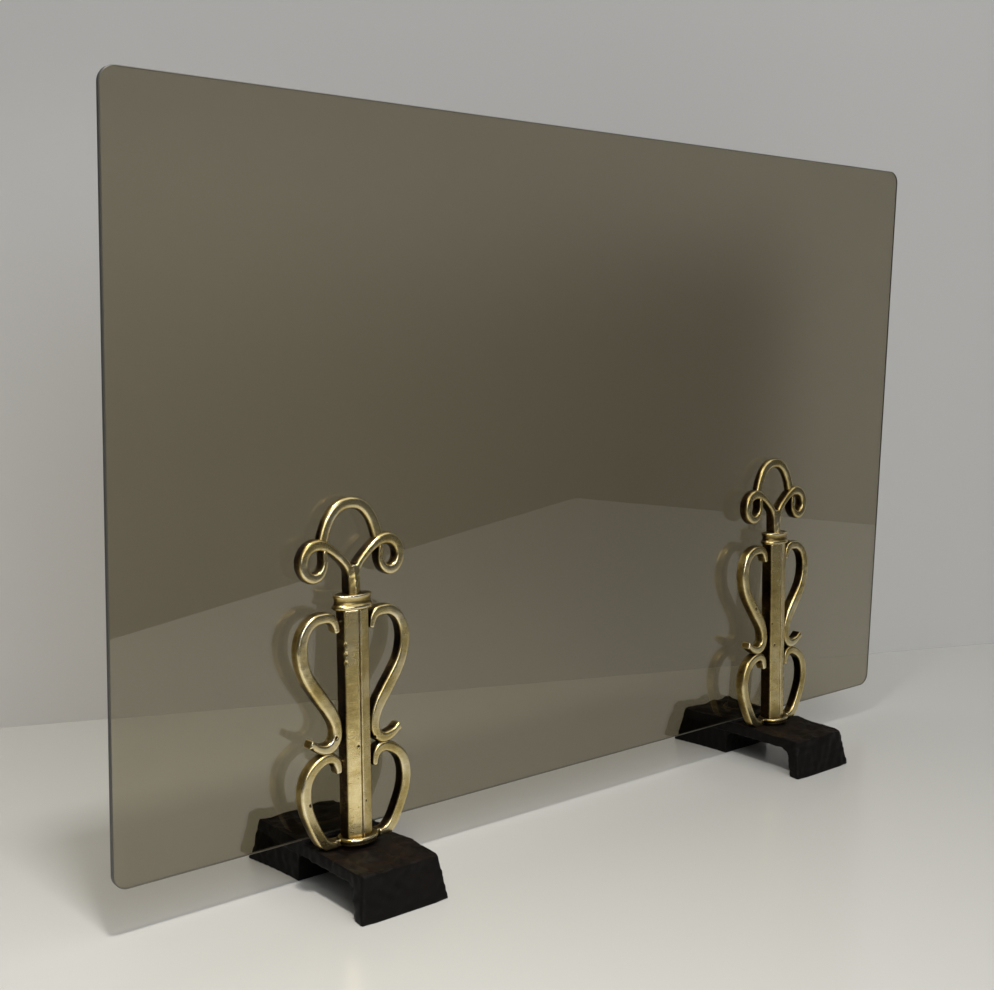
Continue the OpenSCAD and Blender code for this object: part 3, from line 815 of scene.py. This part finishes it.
BRASS_PIECES = [("post", "post", 1), ("collar", "collar", 1), ("fork", "fork", 1), ("loop", "loop", 1),
                ("base_flange", "base_flange", 1), ("upper_outer_scroll", "upper_scroll", 1),
                ("upper_inner_scroll", "upper_scroll", -1), ("lower_outer_scroll", "lower_scroll", 1),
                ("lower_inner_scroll", "lower_scroll", -1)]
for side, way in (("left", -1), ("right", 1)):
    for number, (part, pattern, hand) in enumerate(BRASS_PIECES):
        points, quads, links, hollow, outer = castings[pattern]
        turn = way * hand if outer else 1
        placed = points * [turn, 1, 1]
        faces = quads if turn > 0 else quads[:, ::-1]
        seed = number + (100 if side == "right" else 0)
        depth, tone = struck(placed, MARKS.get(f"{side}_{part}", []))
        uneven = placed + normals_of(placed, faces) * (0.06 * waves(placed, 9.0, seed) - depth)[:, None]
        # Polish with painted light: lighter upward faces, darker hollows and creases.
        polish_and_painted_light = np.clip(buffed(uneven, faces, links, hollow, outer * turn, seed) + tone, 0, 1)
        mesh = mesh_of(f"{side}_{part}_brass", stood_up(uneven, side), faces)
        set_number(mesh, "polish_and_painted_light", polish_and_painted_light)
        show(f"{side}_{part}_brass", mesh, brass_finish, f"{side}_andiron", f"{side}_{part}")
    print("buffed the", side, "upright")


# %% [markdown]
# ## The iron feet
# A foot is a bridge: a front leg, an arch and a solid rear block. Its side view is ruled between two
# lines, the upper one along the top and the lower one along the floor and the arch, and the block is
# swept between them with a width that narrows upwards. The sides curve in between the ends, below a
# top plate that keeps its width. Hammer marks are dimples: under each point the depth follows a
# parabola round the nearest blow, so the ridges between blows stay up.

# %% Pattern for the feet
FOOT_TOP_WIDTH = 77.0
SIDE_HOLLOW = 9.0
PLATE = 12.0


def foot_pattern():
    """The foot as a swept block: s runs along the two ruling lines, v across and w up, each on a grid."""
    front, rear = -foot_len / 2, foot_len / 2
    lower = np.array([[front, 0], [-71.98, 0], [-68.7, 18], [-66.0, 24.0], [-59.5, 26.8], [-10.0, 24.1],
                      [14.6, 22.9], [17.4, 21.0], [17.6, 0], [rear, 0]])
    upper = np.array([[front + 7.2, foot_h], [-68, foot_h], [-66, foot_h], [-63, foot_h], [-58, foot_h],
                      [-10, foot_h], [13, foot_h], [16, foot_h], [19, foot_h], [rear - 5.1, foot_h]])
    w = np.linspace(0, 1, 20)
    v = np.linspace(-1, 1, 24)
    around_v = np.concatenate([v, np.ones(18), v[::-1], -np.ones(18)])
    around_w = np.concatenate([np.zeros(24), w[1:-1], np.ones(24), w[1:-1][::-1]])
    spans = [np.linspace(i, i + 1, 8, endpoint=False) for i in range(len(lower) - 1)]
    spread = np.concatenate([*spans, [len(lower) - 1]])
    number = np.arange(len(lower))
    low = np.column_stack([np.interp(spread, number, lower[:, i]) for i in (0, 1)])
    high = np.column_stack([np.interp(spread, number, upper[:, i]) for i in (0, 1)])
    y, z = (low[:, i, None] * (1 - around_w) + high[:, i, None] * around_w for i in (0, 1))
    half = foot_w / 2 + (FOOT_TOP_WIDTH - foot_w) / 2 * z / foot_h
    waist = foot_w / 2 - SIDE_HOLLOW * (1 - (2 * y / foot_len) ** 2)
    half = np.where(z < foot_h - PLATE, np.minimum(half, waist), half)
    return tube(np.stack([half * around_v, y, z], axis=-1))


def hammered(points, normal, seed):
    """Hammer marks on the top, from 0 to 1: 1 - (distance to the nearest blow / its reach)^2, where
    distances along Y count for 0.6, so that the marks are long."""
    draw = np.random.default_rng(seed)
    blows = np.column_stack([draw.uniform(-40, 40, 90), draw.uniform(-90, 90, 90)])
    reach = 9.0
    away = np.linalg.norm((points[:, None, :2] - blows[None]) * [1.0, 0.6], axis=2).min(1)
    return np.clip(1 - (away / reach) ** 2, 0, 1) * np.clip(normal[:, 2], 0, 1)


def bolt_boss():
    """The round boss inside the arch, from the washer up into the bridge."""
    low, high = box_mm("left_bolt_washer")
    turn = np.arange(48) * 2 * np.pi / 48
    radius = (high[0] - low[0]) / 2 + 2
    rings = np.empty((2, 48, 3))
    rings[..., 0] = (low[0] + high[0]) / 2 - middle_x["left"] + radius * np.cos(turn)
    rings[..., 1] = (low[1] + high[1]) / 2 + radius * np.sin(turn)
    rings[..., 2] = [[high[2]], [foot_h - 3]]
    return tube(rings)


# %% [markdown]
# ## Casting the iron
# The foot and its boss are fused and softened once, and the front corners once more, in plan only,
# where years of knocks have worn them round. Each foot then gets its own hammer marks and lumps. The
# soles stay flat on the floor, nothing rises above the top, and the groove for the glass pad is
# pressed back in.

# %% Cast the feet
IRON_VOXEL = 1.1
CORNER_PASSES = 40
DENT = 1.6
HEWN = 1.6
LUMPS = 0.45

foot_points, foot_quads = fused(joined(foot_pattern(), bolt_boss()), IRON_VOXEL)
foot_links = links_of(foot_quads)
foot_points = softened(foot_points, foot_links, SOFTENING)
front_corner = np.clip((-foot_len / 2 + 16 - foot_points[:, 1]) / 8, 0, 1) * np.clip(
    (np.abs(foot_points[:, 0]) - foot_w / 2 + 16) / 8, 0, 1)
worn_corner = softened(foot_points, foot_links, CORNER_PASSES)
foot_points += front_corner[:, None] * (worn_corner - foot_points) * [1, 1, 0]
groove_low, groove_high = box_mm("left_glass_pad")
for number, side in enumerate(SIDES):
    normal = normals_of(foot_points, foot_quads)
    seed = 40 + number
    dent = DENT * hammered(foot_points, normal, seed)
    upper_edge = np.clip((foot_points[:, 2] - foot_h + 14) / 14, 0, 1)
    sway = waves(foot_points, 26.0, seed) * HEWN * upper_edge + waves(foot_points, 9.0, seed + 5) * LUMPS
    lifted = np.clip(foot_points[:, 2] / 6, 0, 1)
    shaped = foot_points + normal * ((sway - 0.6) * lifted - dent)[:, None]
    shaped[:, 2] = np.clip(shaped[:, 2], 0, foot_h)
    in_groove = (shaped[:, 1] > groove_low[1] - 0.3) & (shaped[:, 1] < groove_high[1] + 0.3)
    shaped[:, 2] = np.where(in_groove, np.minimum(shaped[:, 2], groove_low[2]), shaped[:, 2])
    shaped[:, 1] = np.clip(shaped[:, 1], -foot_len / 2, foot_len / 2)
    # Brown mostly on the upward faces and a little on the front ones.
    upward_brown = np.clip(normal[:, 2], 0, 1) * 0.9 + np.clip(-normal[:, 1], 0, 1) * 0.12
    mesh = mesh_of(f"{side}_foot_iron", shaped + [middle_x[side], 0, 0], foot_quads)
    set_number(mesh, "upward_brown", np.clip(upward_brown, 0, 1))
    show(f"{side}_foot_iron", mesh, iron_finish, f"{side}_andiron", f"{side}_foot")
    print("cast the", side, "foot with", len(foot_quads), "quads")


# %% [markdown]
# ## The sheet of glass
# The sheet is a flat slab with rounded corners, whose edges were ground with a small bevel, the
# arris. A box with two bevel modifiers could make it too. Rings of the rounded outline need none:
# the outline shrinks by the arris at both faces, and the faces close the ends. The ground rim and
# its bevels get finishes of their own.

# %% The glass
ARRIS = 0.8
CORNER = 13.0


def rounded_outline(half_w, half_h, radius, steps=16):
    """A rectangle with quarter-circle corners, as points all the way round."""
    turn = np.linspace(0, np.pi / 2, steps)
    centres = np.array([[1, 1], [-1, 1], [-1, -1], [1, -1]]) * [half_w - radius, half_h - radius]
    angles = turn[None, :] + np.arange(4)[:, None] * np.pi / 2
    rim = centres[:, None, :] + radius * np.stack([np.cos(angles), np.sin(angles)], axis=-1)
    return rim.reshape(-1, 2)


glass_low, glass_high = box_mm("glass_pane")
glass_mid = (glass_low + glass_high) / 2
half_w, half_t, half_h = (glass_high - glass_low) / 2
rings = []
for depth, shrink in ((-half_t, ARRIS), (-half_t + ARRIS, 0.0), (half_t - ARRIS, 0.0), (half_t, ARRIS)):
    rim = rounded_outline(half_w - shrink, half_h - shrink, CORNER - shrink)
    rings.append(np.column_stack([rim[:, 0], np.full(len(rim), depth), rim[:, 1]]) + glass_mid)
rings = np.array(rings)
count = rings.shape[1]
glass_points = rings.reshape(-1, 3)
sides = grid_quads(4, count, True)
ends = [np.arange(count)[::-1], np.arange(count) + 3 * count]
mesh = bpy.data.meshes.new("glass_sheet")
mesh.from_pydata((glass_points / METRE).tolist(), [], sides.tolist() + [end.tolist() for end in ends])
mesh.update()
volume = sum(face.area * face.center.dot(face.normal) for face in mesh.polygons)
if volume < 0:
    mesh.flip_normals()
for finish in (glass_finish, edge_finish, arris_finish):
    mesh.materials.append(finish)
mesh.polygons.foreach_set("material_index", [2] * count + [1] * count + [2] * count + [0, 0])
glass = bpy.data.objects.new("glass_sheet", mesh)
bpy.context.scene.collection.objects.link(glass)
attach(glass, "glass")
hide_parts("glass_pane")
print("glass of", round(2 * half_w), "by", round(2 * half_h), "mm")

# %% [markdown]
# ## Bolts, washers, pads and buffers
# These small pieces keep the shape that the frame gives them, and only take their finish.

# %% Finishes on the small parts
for side in SIDES:
    for part, finish in (("post_bolt", zinc_finish), ("bolt_washer", zinc_finish),
                         ("glass_pad", rubber_finish), ("bumper", rubber_finish)):
        part_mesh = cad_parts[f"{side}_{part}"].data
        part_mesh.materials.clear()
        part_mesh.materials.append(finish)
print("finished the bolts, washers, pads and buffers")

# %% [markdown]
# ## Floor and wall
# The screen stands on a pale laminate top with a light grey wall behind. The front edge of the top
# matters: the lower half of the glass mirrors the pale top, and above that line it mirrors the
# dimmer room.


# %% Floor and wall
def plain(name, code, roughness):
    """A plain painted or laminated surface."""
    material, tree, output = finish_named(name)
    body = add(tree, "BsdfPrincipled", {"Base Color": srgb(code), "Roughness": roughness})
    tree.links.new(body.outputs[0], output.inputs["Surface"])
    return material


def one_sided(material):
    """Makes a wall see-through from behind, so that views from the back look past it."""
    tree = material.node_tree
    output = tree.nodes["Material Output"]
    front = output.inputs["Surface"].links[0].from_socket
    behind = add(tree, "NewGeometry").outputs["Backfacing"]
    both = add(tree, "MixShader", {0: behind, 1: front, 2: add(tree, "BsdfTransparent").outputs[0]})
    tree.links.new(both.outputs[0], output.inputs["Surface"])


def flat(name, corners_mm, material):
    """A flat four-cornered piece of the stage."""
    mesh = bpy.data.meshes.new(name)
    mesh.from_pydata((np.array(corners_mm, dtype=float) / METRE).tolist(), [], [list(range(len(corners_mm)))])
    mesh.materials.append(material)
    made = bpy.data.objects.new(name, mesh)
    bpy.context.scene.collection.objects.link(made)
    return made


WALL_TURN = np.radians(-19.5)
WALL_POINT = np.array([-358.0, 568.0])
WALL_TO_LEFT = 1900
WALL_TO_RIGHT = 3200
WALL_HEIGHT = 2600
along_wall = np.array([np.cos(WALL_TURN), np.sin(WALL_TURN)])
wall_left = WALL_POINT - WALL_TO_LEFT * along_wall
wall_right = WALL_POINT + WALL_TO_RIGHT * along_wall
floor_corners = [(-1829, -90, 0), (1476, -1535, 0), (2005, -269, 0), (*wall_left, 0)]
wall_finish = plain("painted_wall", "#e2e1df", 0.7)
one_sided(wall_finish)
floor_finish = plain("pale_laminate", "#dadad5", 0.22)
flat("floor", floor_corners, floor_finish)
wall_corners = [(*wall_left, 0), (*wall_right, 0), (*wall_right, WALL_HEIGHT), (*wall_left, WALL_HEIGHT)]
flat("wall", wall_corners, wall_finish)
print("floor and wall are set")

# %% [markdown]
# ## Light
# A small lamp high up on the left, a little in front, throws the short shadow of the sheet behind
# it. A broad lamp overhead gives most of the light, and a broad, weaker one in front lets the brass
# faces shine. The world adds a dim grey light from all sides.

# %% World and lamps
world = bpy.data.worlds.new("room")
bpy.context.scene.world = world
world.use_nodes = True
background = world.node_tree.nodes["Background"]
background.inputs["Color"].default_value = srgb("#b9b8b6")
background.inputs["Strength"].default_value = 0.13


def lamp(name, at_mm, aim_mm, size_mm, watts, code="#ffffff", spread=180):
    """A square area lamp at one point, aimed at another. spread is the angle of its cone in degrees."""
    data = bpy.data.lights.new(name, "AREA")
    data.shape = "SQUARE"
    data.size = size_mm / METRE
    data.energy = watts
    data.color = srgb(code)[:3]
    data.spread = np.radians(spread)
    made = bpy.data.objects.new(name, data)
    at, aim = np.array(at_mm) / METRE, np.array(aim_mm) / METRE
    back = (at - aim) / np.linalg.norm(at - aim)
    side_axis = np.cross([0, 1, 0], back)
    side_axis /= np.linalg.norm(side_axis)
    pose = Matrix.Identity(4)
    for column, axis in enumerate((side_axis, np.cross(back, side_axis), back, at)):
        for row in range(3):
            pose[row][column] = axis[row]
    made.matrix_world = pose
    bpy.context.scene.collection.objects.link(made)
    return made


lamp("key", (-528, -316, 1500), (-500, -290, 0), 120, 3.4, "#fffaf3", spread=95)
lamp("ceiling", (200, -300, 2600), (200, -300, 0), 4000, 44, "#fffdf9")
lamp("window", (-700, -2500, 1500), (200, 300, 300), 1800, 29, "#fbfcff")
print("world and lamps are set")
